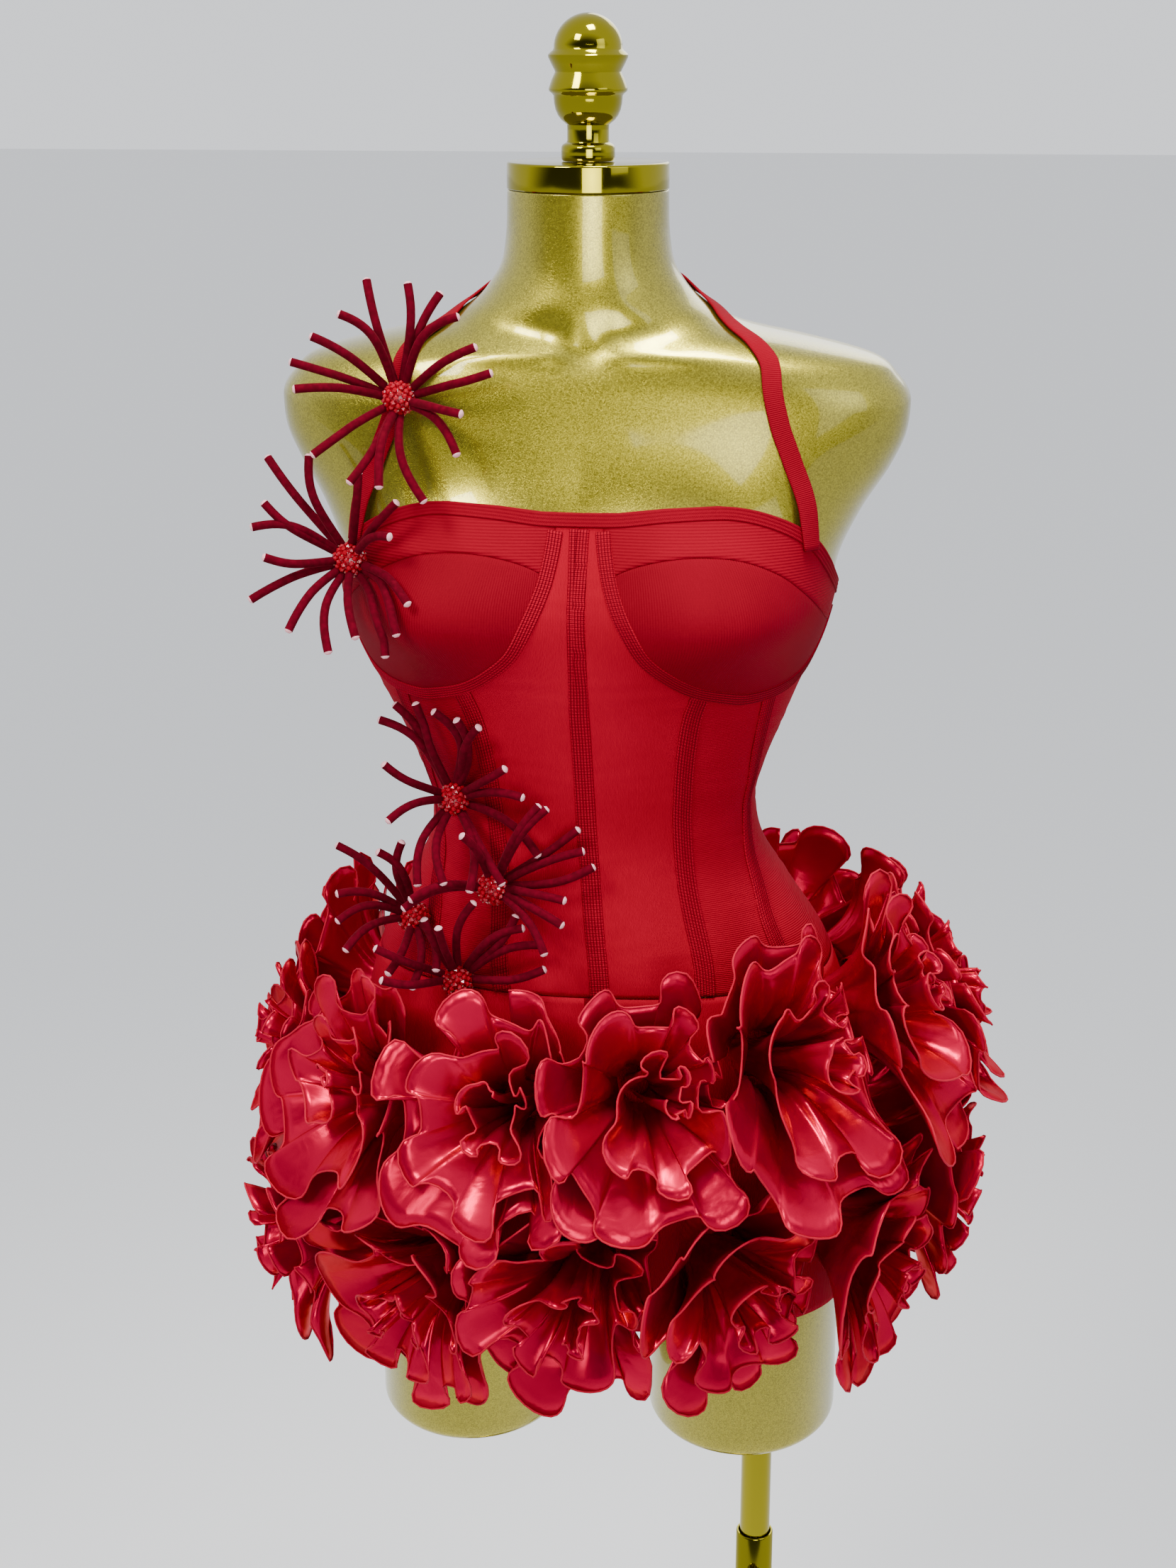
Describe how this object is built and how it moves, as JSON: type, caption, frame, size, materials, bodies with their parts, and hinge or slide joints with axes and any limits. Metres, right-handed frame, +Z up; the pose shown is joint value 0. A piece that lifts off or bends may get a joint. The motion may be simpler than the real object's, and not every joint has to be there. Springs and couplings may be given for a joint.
{
  "type": "bandage dress on a limbless dress form with a stand",
  "caption": "Fitted halter-neck bandage dress with underwired cups, a skirt of ruffle rosettes and beaded fringe flowers, worn by a limbless dress form on a height-adjustable round-base stand.",
  "frame": {"origin": "on the floor, on the underside of the round base plate, straight below the centre line of the dress form", "axes": "+Z up, -Y to the front of the dress, +X to the viewer's right, which is the wearer's left"},
  "size_m": [0.5204, 0.4175, 1.587],
  "materials": {
    "bandage_knit": "fine ribbed bandage knit, matte with a faint sheen",
    "rib_binding": "narrow ribbed knit tape, ladder stitched",
    "ruffle_satin": "glossy duchesse satin with an overlocked edge",
    "strand_velvet": "velvet covered cord with pale cut ends",
    "gold_lacquer": "metallic flake lacquer, glossy",
    "polished_gold": "polished gold plate",
    "zip_metal": "satin zip metal"
  },
  "bodies": {
    "stand": {"base_plate": "polished_gold", "pole_lower": "polished_gold"},
    "torso": {"form_body": "gold_lacquer", "neck_cap": "polished_gold", "finial": "polished_gold", "pole_upper": "polished_gold", "panel_front_left": "bandage_knit", "panel_front_right": "bandage_knit", "panel_side_front_left": "bandage_knit", "panel_side_front_right": "bandage_knit", "panel_back_left": "bandage_knit", "panel_back_right": "bandage_knit", "cup_lower_left": "bandage_knit", "cup_lower_right": "bandage_knit", "cup_upper_left": "bandage_knit", "cup_upper_right": "bandage_knit", "channel_wire_left": "rib_binding", "channel_wire_right": "rib_binding", "channel_princess_left": "rib_binding", "channel_princess_right": "rib_binding", "channel_side_left": "rib_binding", "channel_side_right": "rib_binding", "channel_centre": "rib_binding", "top_binding": "rib_binding", "halter_strap": "rib_binding", "skirt_base": "bandage_knit", "zip_tape": "bandage_knit", "zip_slider": "zip_metal", "ruffle_upper_01": "ruffle_satin", "ruffle_upper_02": "ruffle_satin", "ruffle_upper_03": "ruffle_satin", "ruffle_upper_04": "ruffle_satin", "ruffle_upper_05": "ruffle_satin", "ruffle_upper_06": "ruffle_satin", "ruffle_upper_07": "ruffle_satin", "ruffle_upper_08": "ruffle_satin", "ruffle_upper_09": "ruffle_satin", "ruffle_upper_10": "ruffle_satin", "ruffle_upper_11": "ruffle_satin", "ruffle_upper_12": "ruffle_satin", "ruffle_upper_13": "ruffle_satin", "ruffle_lower_01": "ruffle_satin", "ruffle_lower_02": "ruffle_satin", "ruffle_lower_03": "ruffle_satin", "ruffle_lower_04": "ruffle_satin", "ruffle_lower_05": "ruffle_satin", "ruffle_lower_06": "ruffle_satin", "ruffle_lower_07": "ruffle_satin", "ruffle_lower_08": "ruffle_satin", "ruffle_lower_09": "ruffle_satin", "ruffle_lower_10": "ruffle_satin", "ruffle_lower_11": "ruffle_satin", "flower_shoulder": "strand_velvet", "flower_bust": "strand_velvet", "flower_under_bust": "strand_velvet", "flower_waist": "strand_velvet", "flower_side_waist": "strand_velvet", "flower_hip": "strand_velvet"},
    "knob": {"lock_knob": "polished_gold"},
    "pull": {"zip_pull": "zip_metal"}
  },
  "joints": [
    {"name": "height", "type": "slide", "parent": "stand", "child": "torso", "axis": [0, 0, 1], "range_m": [-0.095, 0.2]},
    {"name": "knob_turn", "type": "hinge", "parent": "stand", "child": "knob", "pos_m": [0.123, 0.013, 0.482], "axis": [0, 1, 0], "continuous": true},
    {"name": "pull_swing", "type": "hinge", "parent": "torso", "child": "pull", "pos_m": [0.001, 0.09028, 1.18583], "axis": [1, 0, 0], "range_deg": [0, 150]}
  ]
}
